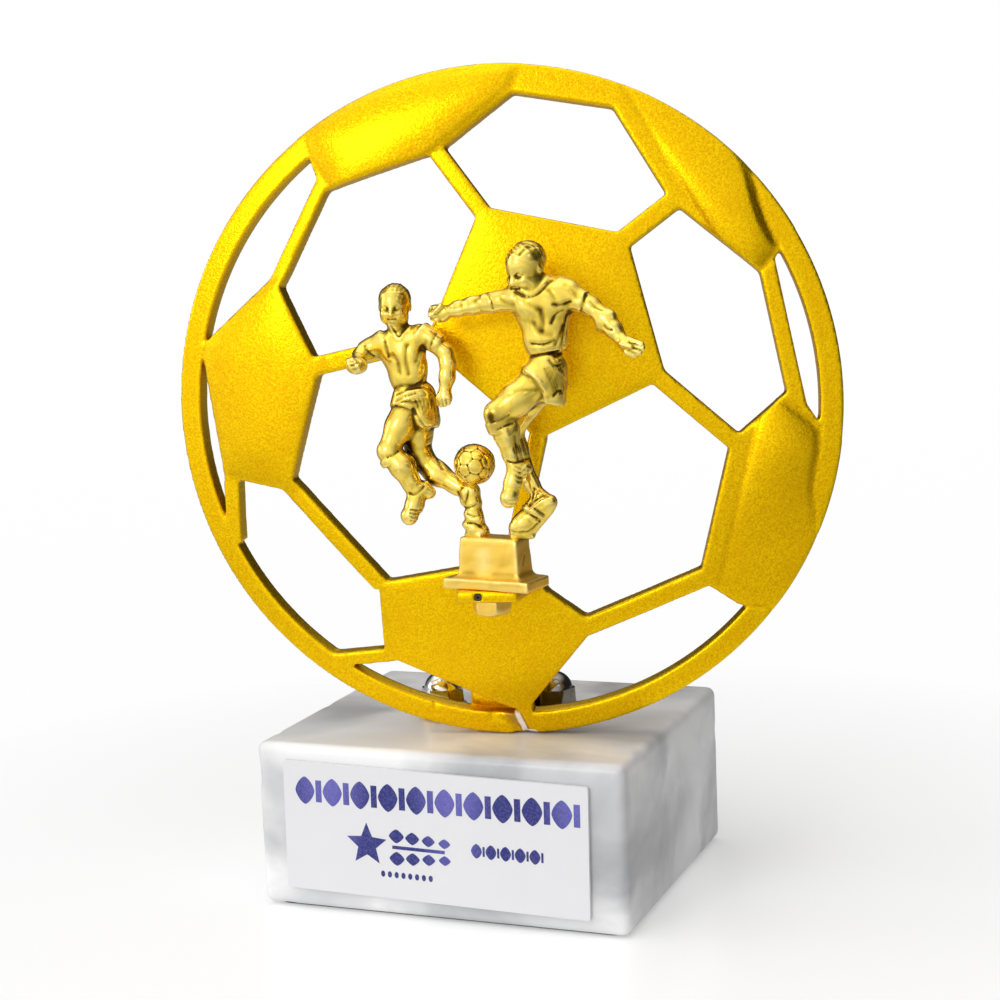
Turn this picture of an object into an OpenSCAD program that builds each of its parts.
// Football figure trophy: a marble block, an openwork ball disc and two players on a small plinth.
// Frame: origin at the centre of the base's bottom face, +X right, +Y back, +Z up, millimetres.

/* [Marble base] */
// Width of the marble block
base_w = 80; // [76:1:100]
// Depth of the marble block, front to back
base_d = 66; // [60:1:80]
// Height of the base, felt included
base_h = 35; // [33:1:45]
// Radius of the block's rounded edges
base_edge_r = 2; // [1:0.5:2.5]
// Thickness of the felt sheet under the block
felt_t = 0.5; // [0.5:0.25:1.5]

/* [Inscription plate] */
// Width of the inscription plate
plate_w = 66; // [50:1:68]
// Height of the inscription plate
plate_h = 27; // [20:1:27]
// Thickness of the inscription plate
plate_t = 0.8; // [0.5:0.1:1.5]
// Slope that the plate was glued at, in degrees
plate_slope = -1; // [-1:0.5:1]

/* [Ball disc] */
// Outer radius of the openwork disc
disc_r = 67.5; // [66:0.5:70]
// Width of the outer ring
ring_w = 4.6; // [4:0.2:6]
// Thickness of the casting
disc_t = 3.5; // [3:0.25:4]
// Radius of the shallow dome that the casting follows
dome_r = 320; // [300:10:400]
// Turn of the disc about the vertical, in degrees
disc_turn = 11.5; // [8:0.5:14]
// Place of the disc's lowest point on the base, left to right
disc_x = 11; // [8:0.5:14]
// Place of the disc's lowest point on the base, front to back
disc_y = -15; // [-17:0.5:-13]

/* [Figure group] */
// Turn of the plinth about its stud, in degrees
plinth_turn = -8; // [-12:1:0]
// Width of the plinth's foot plate
plinth_w = 19; // [18:0.5:22]
// Depth of the plinth's foot plate
plinth_d = 9; // [8.5:0.5:12]
// Radius of the ball at the players' feet
game_ball_r = 3.8; // [3.5:0.1:3.8]

/* [Hidden] */
$fn = 96;
// A small overlap or overshoot, so that no two faces lie in one plane
eps = 0.05;
// How far a cutting tool starts before and runs past what it cuts
overshoot = 1;

// Base: the felt stops short of the edge; the plate is glued a little off the middle.
felt_inset = 2.5;
felt_corner_r = 2;
plate_shift = [-0.4, 0.3];
plate_corner_r = 0.5;
adhesive_t = 0.2;
adhesive_margin = 1;

// Base fixings: two M5 bolts come up through the marble into low dome nuts.
bolt_u = [-18, 6];
bolt_w = -13.5;
bolt_r = 2.5;
bolt_clear_r = 2.7;
marble_hole_r = 2.9;
counterbore_r = 7;
counterbore_top = 8;
washer_t = 1;
bolt_washer_r = 6;
nut_washer_r = 5;
nut_top_cut = 0.2;
nut_bottom_cut = 0.35;
nut_bottom_slope = 1.5;
hex_m5_r = 8 / sqrt(3);
bolt_head_h = 3.5;
dome_nut_h = 7;
dome_nut_hex_h = 3.6;
dome_nut_bore_h = 5;
dome_nut_cap_r = 4;
thread_gap = 0.05;

// Disc foot: a flange on the marble and an upright tab behind the lowest panel.
foot_flange_t = 2;
foot_tab_t = 2.5;
foot_tab_w = -4;
foot_tab_u = [-10, 2];
foot_flange_u = [-25, 13];
foot_flange_depth = 17;
foot_tab_h = 29;
foot_screw_u = -4;
foot_screw_v = [-42, -54];
foot_screw_r = 1.5;
foot_screw_l = 6;
foot_screw_head_r = 2.75;
foot_screw_head_h = 1.8;
foot_boss_r = 3.2;
foot_boss_h = 5.5;
gusset_t = 2;
gusset_leg = 9;

// Disc: the dome stands proud of the rim plane by the sagitta at its centre.
dome_drop = sqrt(pow(dome_r, 2) - pow(disc_r, 2));
disc_z = base_h + disc_r;
dome_fn = 240;
pattern_depth = 30;

// Shelf: a tapered lug cast on the lowest panel, which carries the plinth. Its top is level.
shelf_top_z = 68.8;
shelf_top_v = shelf_top_z - disc_z;
shelf_t = 2.2;
shelf_root_w = 2;
shelf_front_w = 20.5;
shelf_half_root = 9;
shelf_half_front = 6;

// Plinth and stud, in the figure's own frame: origin at the middle of the plinth's top.
stud_u = -1;
stud_w = 15.5;
plinth_shift = [0.9, 0.4];
stud_r = 2;
stud_l = 12;
stud_clear = 0.15;
plinth_bore_h = 8;
plinth_plate_t = 2.1;
plinth_block_h = 8;
plinth_bottom_z = -plinth_block_h - plinth_plate_t;
plinth_top_z = disc_z + shelf_top_v - plinth_bottom_z;
block_w = 12.8;
block_d = 5.4;
block_taper = 0.35;
block_flare = 1.1;
hex_m4_r = 7 / sqrt(3);
nut_m4_h = 3.3;

// Ball at the players' feet.
game_ball_at = [-3.6, -0.2, 14];

// Set screw: in the shelf's front edge, a little beside the stud.
set_screw_shift = -1.8;
set_screw_start = 2.4;
set_screw_l = 2.3;
set_screw_r = 0.65;
set_screw_socket_r = 0.35;

// Corner points of the six ball panels on the disc, left to right and up from its centre.
panel_centre = [[-2, 40], [26.5, 33.5], [33.5, 5.5], [8, -6], [-14, 13.5]];
panel_top = [[-34.5, 44], [-10, 51], [4.5, 61.5], [8, 70], [-45, 62], [-37, 50.5]];
panel_upper_right = [[35, 39.5], [24, 58], [28, 68], [64, 40], [55, 28], [52, 25]];
panel_lower_right = [[45.5, -7.5], [38.5, -35], [46, -40.5], [60, -44], [72, -12], [63, -5], [58, 3]];
panel_bottom = [[0, -30.5], [18, -44], [2, -63], [-26.5, -50.5], [-26.5, -35]];
panel_left = [[-45, 28], [-36, 9], [-44, -16], [-58.5, -13], [-62, 14]];
PANELS = [
    panel_centre, panel_top, panel_upper_right, panel_lower_right, panel_bottom, panel_left
];

// Struts from panel corner to panel corner or into the ring: both ends and the width.
STRUTS = [
    [[-10.3, 50.5], [-2, 39.2], 3.4], [[26, 32.5], [37, 40.5], 3.8], [[32, 5.5], [46, -7.3], 3.5],
    [[7.8, -6], [1.5, -30.5], 3.6], [[-13.5, 14.3], [-37, 9.5], 3.8], [[-34.5, 45.5], [-44.5, 27], 2.8],
    [[53, 28], [58.5, 0], 3.3], [[39, -35], [16.5, -44.2], 3.8], [[-44, -15], [-26.5, -35], 3.4],
    [[-57, -12], [-57.5, -26], 3.3], [[-25, -50.5], [-38, -52], 2.8], [[2, -60], [2, -65], 3.6],
    [[2, 63.8], [27, 59], 3.4]
];
strut_reach = 0.8;

// ---- Placing ----

// Disc frame: x to the right, y up, z out of the front face.
module at_disc() {
    translate([disc_x, disc_y, disc_z]) rotate([0, 0, disc_turn]) rotate([90, 0, 0]) children();
}

// Figure frame: upright, origin at the middle of the plinth's top.
module at_figure() {
    translate([disc_x, disc_y, plinth_top_z]) rotate([0, 0, disc_turn])
        translate([stud_u, -stud_w, 0]) rotate([0, 0, plinth_turn - disc_turn])
            translate([plinth_shift[0], plinth_shift[1], 0]) children();
}

// Bolt frame: upright, on the axis of the left or the right base bolt.
module at_bolt(side) {
    translate([disc_x, disc_y, 0]) rotate([0, 0, disc_turn])
        translate([bolt_u[side], -bolt_w, 0]) children();
}

// ---- Shapes that repeat ----

module rounded_rect(w, d, r) {
    square([w - 2 * r, d], center = true);
    square([w, d - 2 * r], center = true);
    for (x = [-1, 1], y = [-1, 1])
        translate([x * (w / 2 - r), y * (d / 2 - r)]) circle(r);
}

// A block with all edges rounded, made of three crossing extrusions.
module rounded_block(w, d, h, r) {
    intersection() {
        linear_extrude(h) rounded_rect(w, d, r);
        translate([0, 0, h / 2]) rotate([90, 0, 0])
            linear_extrude(d, center = true) rounded_rect(w, h, r);
        translate([0, 0, h / 2]) rotate([90, 0, 90])
            linear_extrude(w, center = true) rounded_rect(d, h, r);
    }
}

module flat_washer(outer_r, hole_r) {
    difference() {
        cylinder(h = washer_t, r = outer_r);
        translate([0, 0, -eps]) cylinder(h = washer_t + 2 * eps, r = hole_r);
    }
}

// A bar in the plane between two points, reaching a little past both.
module bar(a, b, w) {
    d = b - a;
    translate(a) rotate(atan2(d[1], d[0]))
        translate([-strut_reach, -w / 2]) square([norm(d) + 2 * strut_reach, w]);
}

// Corners cut off a hexagon by a cone at each end, as on a turned nut.
module chamfered_hex(r, h) {
    intersection() {
        cylinder(h = h, r = r, $fn = 6);
        cylinder(h = h, r1 = r, r2 = r - nut_top_cut);
        cylinder(h = h, r1 = r - nut_bottom_cut, r2 = r + nut_bottom_slope);
    }
}

// ---- Base ----

module marble_base() {
    color("gainsboro") difference() {
        translate([0, 0, felt_t]) rounded_block(base_w, base_d, base_h - felt_t, base_edge_r);
        for (side = [0, 1]) at_bolt(side) {
            cylinder(h = base_h + overshoot, r = marble_hole_r);
            cylinder(h = counterbore_top, r = counterbore_r);
        }
    }
}

module base_felt() {
    color("dimgray") linear_extrude(felt_t)
        rounded_rect(base_w - 2 * felt_inset, base_d - 2 * felt_inset, felt_corner_r);
}

module at_plate(gap) {
    translate([plate_shift[0], -base_d / 2 - gap, base_h / 2 + plate_shift[1]])
        rotate([0, -plate_slope, 0]) rotate([90, 0, 0]) children();
}

module plate_adhesive() {
    color("lightyellow") at_plate(0) linear_extrude(adhesive_t)
        square([plate_w - 2 * adhesive_margin, plate_h - 2 * adhesive_margin], center = true);
}

module inscription_plate() {
    color("white") at_plate(adhesive_t) linear_extrude(plate_t)
        rounded_rect(plate_w, plate_h, plate_corner_r);
}

// ---- Disc ----

// Domed cap with a straight rim; z = 0 is the plane of the front rim edge.
module dome_cap() {
    intersection() {
        translate([0, 0, -pattern_depth / 3]) cylinder(h = pattern_depth, r = disc_r);
        translate([0, 0, -dome_drop]) difference() {
            sphere(dome_r, $fn = dome_fn);
            sphere(dome_r - disc_t, $fn = dome_fn);
        }
    }
}

// The openwork: outer ring, panels and struts, deep enough to cut the whole dome.
module ball_pattern() {
    translate([0, 0, -pattern_depth / 3]) {
        difference() {
            cylinder(h = pattern_depth, r = disc_r + overshoot);
            translate([0, 0, -overshoot])
                cylinder(h = pattern_depth + 2 * overshoot, r = disc_r - ring_w);
        }
        for (p = PANELS) linear_extrude(pattern_depth) polygon(p);
        for (s = STRUTS) linear_extrude(pattern_depth) bar(s[0], s[1], s[2]);
    }
}

module shelf_lug() {
    translate([stud_u, shelf_top_v, 0]) rotate([90, 0, 0]) linear_extrude(shelf_t)
        polygon([
            [-shelf_half_root, shelf_root_w], [shelf_half_root, shelf_root_w],
            [shelf_half_front, shelf_front_w], [-shelf_half_front, shelf_front_w]
        ]);
}

module foot_bosses() {
    for (v = foot_screw_v)
        translate([foot_screw_u, v, foot_tab_w]) cylinder(h = foot_boss_h, r = foot_boss_r);
}

module ball_disc() {
    color("gold") at_disc() difference() {
        union() {
            intersection() {
                dome_cap();
                ball_pattern();
            }
            shelf_lug();
            foot_bosses();
        }
        for (v = foot_screw_v)
            translate([foot_screw_u, v, foot_tab_w - overshoot])
                cylinder(h = foot_boss_h, r = foot_screw_r + thread_gap);
        translate([stud_u, shelf_top_v + overshoot, stud_w]) rotate([90, 0, 0])
            cylinder(h = shelf_t + 2 * overshoot, r = stud_r + stud_clear);
        translate([stud_u + set_screw_shift, shelf_top_v - shelf_t / 2, stud_w + 1])
            cylinder(h = shelf_front_w, r = set_screw_r + thread_gap);
    }
}

module shelf_set_screw() {
    place = [stud_u + set_screw_shift, shelf_top_v - shelf_t / 2, stud_w + set_screw_start];
    color("dimgray") at_disc() translate(place) difference() {
        cylinder(h = set_screw_l, r = set_screw_r);
        translate([0, 0, 0.65 * set_screw_l])
            cylinder(h = set_screw_l, r = set_screw_socket_r, $fn = 6);
    }
}

// ---- Foot behind the disc ----

module foot_gusset(x) {
    translate([x, -disc_r + foot_flange_t, foot_tab_w - foot_tab_t]) rotate([0, 90, 0])
        linear_extrude(gusset_t) polygon([[-eps, -eps], [gusset_leg, -eps], [-eps, gusset_leg]]);
}

module disc_foot() {
    tab_w = foot_tab_u[1] - foot_tab_u[0];
    flange_w = foot_flange_u[1] - foot_flange_u[0];
    color("goldenrod") at_disc() difference() {
        union() {
            translate([foot_tab_u[0], -disc_r, foot_tab_w - foot_tab_t])
                cube([tab_w, foot_tab_h, foot_tab_t]);
            translate([foot_flange_u[0], -disc_r, foot_tab_w - foot_flange_depth])
                cube([flange_w, foot_flange_t, foot_flange_depth]);
            foot_gusset(foot_tab_u[0]);
            foot_gusset(foot_tab_u[1] - gusset_t);
        }
        for (v = foot_screw_v)
            translate([foot_screw_u, v, foot_tab_w - foot_tab_t - overshoot])
                cylinder(h = foot_tab_t + 2 * overshoot, r = foot_screw_r + stud_clear);
        for (u = bolt_u)
            translate([u, -disc_r - overshoot, bolt_w]) rotate([-90, 0, 0])
                cylinder(h = foot_flange_t + 2 * overshoot, r = bolt_clear_r);
    }
}

module foot_screw(v) {
    crown_r = 2 * foot_screw_head_h;
    slot = [3, 0.6, foot_screw_head_h / 2];
    color("silver") at_disc() translate([foot_screw_u, v, foot_tab_w - foot_tab_t]) difference() {
        union() {
            cylinder(h = foot_screw_l, r = foot_screw_r);
            intersection() {
                translate([0, 0, -foot_screw_head_h])
                    cylinder(h = foot_screw_head_h, r = foot_screw_head_r);
                translate([0, 0, foot_screw_r]) sphere(crown_r);
            }
        }
        for (a = [0, 90])
            rotate(a) translate([-slot[0] / 2, -slot[1] / 2, -foot_screw_head_h - eps]) cube(slot);
    }
}

module foot_screw_upper() {
    foot_screw(foot_screw_v[0]);
}

module foot_screw_lower() {
    foot_screw(foot_screw_v[1]);
}

// ---- Base fixings ----

module base_bolt(side) {
    bolt_shank_l = base_h + foot_flange_t + dome_nut_bore_h - counterbore_top + washer_t;
    color("silver") at_bolt(side) {
        translate([0, 0, counterbore_top - washer_t - bolt_head_h])
            chamfered_hex(hex_m5_r, bolt_head_h);
        translate([0, 0, counterbore_top - washer_t - eps])
            cylinder(h = bolt_shank_l, r = bolt_r);
    }
}

module bolt_washer(side) {
    color("silver") at_bolt(side) translate([0, 0, counterbore_top - washer_t])
        flat_washer(bolt_washer_r, bolt_clear_r);
}

module nut_washer(side) {
    color("silver") at_bolt(side) translate([0, 0, base_h + foot_flange_t])
        flat_washer(nut_washer_r, bolt_clear_r);
}

module dome_nut(side) {
    color("whitesmoke") at_bolt(side) translate([0, 0, base_h + foot_flange_t + washer_t])
        difference() {
            union() {
                chamfered_hex(hex_m5_r, dome_nut_hex_h);
                intersection() {
                    translate([0, 0, dome_nut_h - dome_nut_cap_r]) sphere(dome_nut_cap_r);
                    translate([0, 0, dome_nut_hex_h / 2])
                        cylinder(h = dome_nut_h, r = dome_nut_cap_r);
                }
            }
            translate([0, 0, -eps]) cylinder(h = dome_nut_bore_h, r = bolt_r + thread_gap);
        }
}

module base_bolt_left() {
    base_bolt(0);
}

module base_bolt_right() {
    base_bolt(1);
}

module bolt_washer_left() {
    bolt_washer(0);
}

module bolt_washer_right() {
    bolt_washer(1);
}

module nut_washer_left() {
    nut_washer(0);
}

module nut_washer_right() {
    nut_washer(1);
}

module dome_nut_left() {
    dome_nut(0);
}

module dome_nut_right() {
    dome_nut(1);
}

// ---- Plinth, stud and nut ----

// Side view of the plinth's block: a slight taper with a concave flare at the foot.
module block_profile(w) {
    steps = 6;
    flare_at = -plinth_block_h + block_flare;
    foot = w / 2 + block_taper;
    right = [for (i = [0:steps])
        let (a = 90 * i / steps)
        [foot + block_flare * (1 - cos(a)), flare_at - block_flare * sin(a)]];
    left = [for (i = [steps:-1:0]) [-right[i][0], right[i][1]]];
    polygon(concat([[-w / 2, 0], [w / 2, 0]], right, left));
}

module figure_plinth() {
    color("khaki") at_figure() difference() {
        union() {
            intersection() {
                rotate([90, 0, 0]) linear_extrude(plinth_d, center = true) block_profile(block_w);
                rotate([90, 0, 90]) linear_extrude(plinth_w, center = true) block_profile(block_d);
            }
            translate([-plinth_w / 2, -plinth_d / 2, plinth_bottom_z])
                cube([plinth_w, plinth_d, plinth_plate_t + eps]);
        }
        translate([-plinth_shift[0], -plinth_shift[1], plinth_bottom_z - overshoot])
            cylinder(h = plinth_bore_h, r = stud_r + thread_gap);
    }
}

module figure_stud() {
    inside_nut = 0.4;
    stud_z = plinth_bottom_z - shelf_t - nut_m4_h + inside_nut;
    color("silver") at_figure() translate([-plinth_shift[0], -plinth_shift[1], stud_z])
        cylinder(h = stud_l, r = stud_r);
}

module figure_nut() {
    nut_z = plinth_bottom_z - shelf_t - nut_m4_h;
    color("khaki") at_figure()
        translate([-plinth_shift[0], -plinth_shift[1], nut_z]) difference() {
            chamfered_hex(hex_m4_r, nut_m4_h);
            translate([0, 0, -eps]) cylinder(h = nut_m4_h + 2 * eps, r = stud_r + thread_gap);
        }
}

// ---- Players ----

// A rounded limb between two joints: each joint is [x, y, z, radius].
module limb(a, b) {
    hull() for (j = [a, b])
        translate([j[0], j[1], j[2]]) sphere(j[3], $fn = 14);
}

// A limb through a row of joints.
module limbs(joints) {
    for (i = [0:len(joints) - 2]) limb(joints[i], joints[i + 1]);
}

// A head as an egg, its chin turned by yaw and dropped by nod.
module head(at, r, yaw, nod) {
    translate(at) rotate([nod, 0, yaw]) hull() {
        translate([0, 0.1 * r, 0.25 * r]) scale([0.86, 1, 0.95]) sphere(r, $fn = 20);
        translate([0, -0.35 * r, -0.75 * r]) sphere(0.42 * r, $fn = 12);
    }
}

// A torso between a shoulder bar and a waist bar.
module torso(shoulder_a, shoulder_b, waist_a, waist_b) {
    hull() for (j = [shoulder_a, shoulder_b, waist_a, waist_b])
        translate([j[0], j[1], j[2]]) sphere(j[3], $fn = 16);
}

module striker_player() {
    hip_l = [11.3, -0.8, 31.5, 2.9];
    hip_r = [13.6, 1.2, 31, 2.9];
    color("gold") at_figure() {
        head([9.8, -0.8, 51.9], 4.1, -35, 14);
        limb([11, 0, 48.6, 2.2], [12.2, 0.4, 46, 2.5]);
        torso([8.8, -1.4, 45, 2.3], [15.6, 1.6, 45.8, 2.4],
              [11.3, -0.2, 36.8, 2.5], [14, 0.8, 36.8, 2.5]);
        torso([11.3, -0.2, 37, 2.7], [14, 0.8, 37, 2.7], hip_l, hip_r);
        limbs([[8.2, -1.6, 45.4, 2.2], [2.6, -2.2, 44.8, 1.8], [-2.4, -2.5, 43.6, 1.6],
               [-6.8, -2.7, 43, 1.2], [-9.4, -2.7, 43.3, 1.6]]);
        limbs([[16, 1.8, 46, 2.3], [20, 2.3, 44.4, 2], [23.8, 2.5, 42.4, 1.7],
               [29.2, 1, 38.2, 1.2], [32.3, 0, 36.4, 1.6]]);
        limbs([hip_l, [5.7, -6, 24.4, 2.3], [8.2, -3.9, 15.4, 1.4]]);
        limbs([[8.9, -3.4, 14.6, 1.5], [7.5, -5.4, 8.6, 1.5]]);
        limbs([hip_r, [8, 1.6, 20.6, 2.1], [8.6, 2.4, 9.8, 1.4], [9.9, 2, 6, 1.8]]);
        limbs([[10.4, 1.9, 5.8, 1.7], [5.5, -0.2, 2, 1.9]]);
        limbs([[9.6, 1.6, 5.2, 1.6], [6.4, 0.8, 1.7, 1.7]]);
    }
}

module defender_player() {
    hip_l = [-16.9, -2.4, 25.8, 2.6];
    hip_r = [-14.9, -0.8, 25.4, 2.6];
    color("gold") at_figure() {
        head([-18.6, -2.4, 45], 3.5, 0, 2);
        limb([-18.4, -2, 42, 1.7], [-18.3, -2, 39.4, 2]);
        torso([-21.3, -2, 37.4, 2], [-15.4, -1.2, 38, 2],
              [-18, -1.8, 29.8, 2], [-15.6, -1.4, 29.8, 2]);
        torso([-18, -1.8, 29.6, 2.3], [-15.6, -1.4, 29.6, 2.3], hip_l, hip_r);
        limbs([[-22, -2, 37.8, 1.9], [-25.5, -3.4, 36, 1.6], [-23.7, -8.4, 34.4, 1.6]]);
        limbs([[-14.4, -1, 38.4, 1.9], [-9.8, 0, 34.8, 1.5], [-8.5, -1.5, 29.4, 1.2],
               [-8.7, -2, 27.2, 1.6]]);
        limbs([hip_l, [-19.3, -6.6, 17.8, 2.1], [-15.4, -4.5, 9.4, 1.3]]);
        limbs([[-13.3, -3.6, 8.8, 1.5], [-13.9, -6.6, 4.6, 1.4]]);
        limbs([hip_r, [-14.4, 0, 15.4, 1.9], [-7.2, 0.4, 9.2, 1.6], [-4.4, 0.2, 8.1, 2.2]]);
        limbs([[-4.2, 0.2, 7.8, 2], [-3.8, -0.2, 1.8, 2.1]]);
    }
}

module game_ball() {
    color("gold") at_figure() translate(game_ball_at) sphere(game_ball_r);
}

// ---- Output ----

marble_base();
base_felt();
inscription_plate();
plate_adhesive();
ball_disc();
disc_foot();
foot_screw_upper();
foot_screw_lower();
base_bolt_left();
base_bolt_right();
bolt_washer_left();
bolt_washer_right();
nut_washer_left();
nut_washer_right();
dome_nut_left();
dome_nut_right();
figure_plinth();
striker_player();
defender_player();
game_ball();
figure_stud();
figure_nut();
shelf_set_screw();
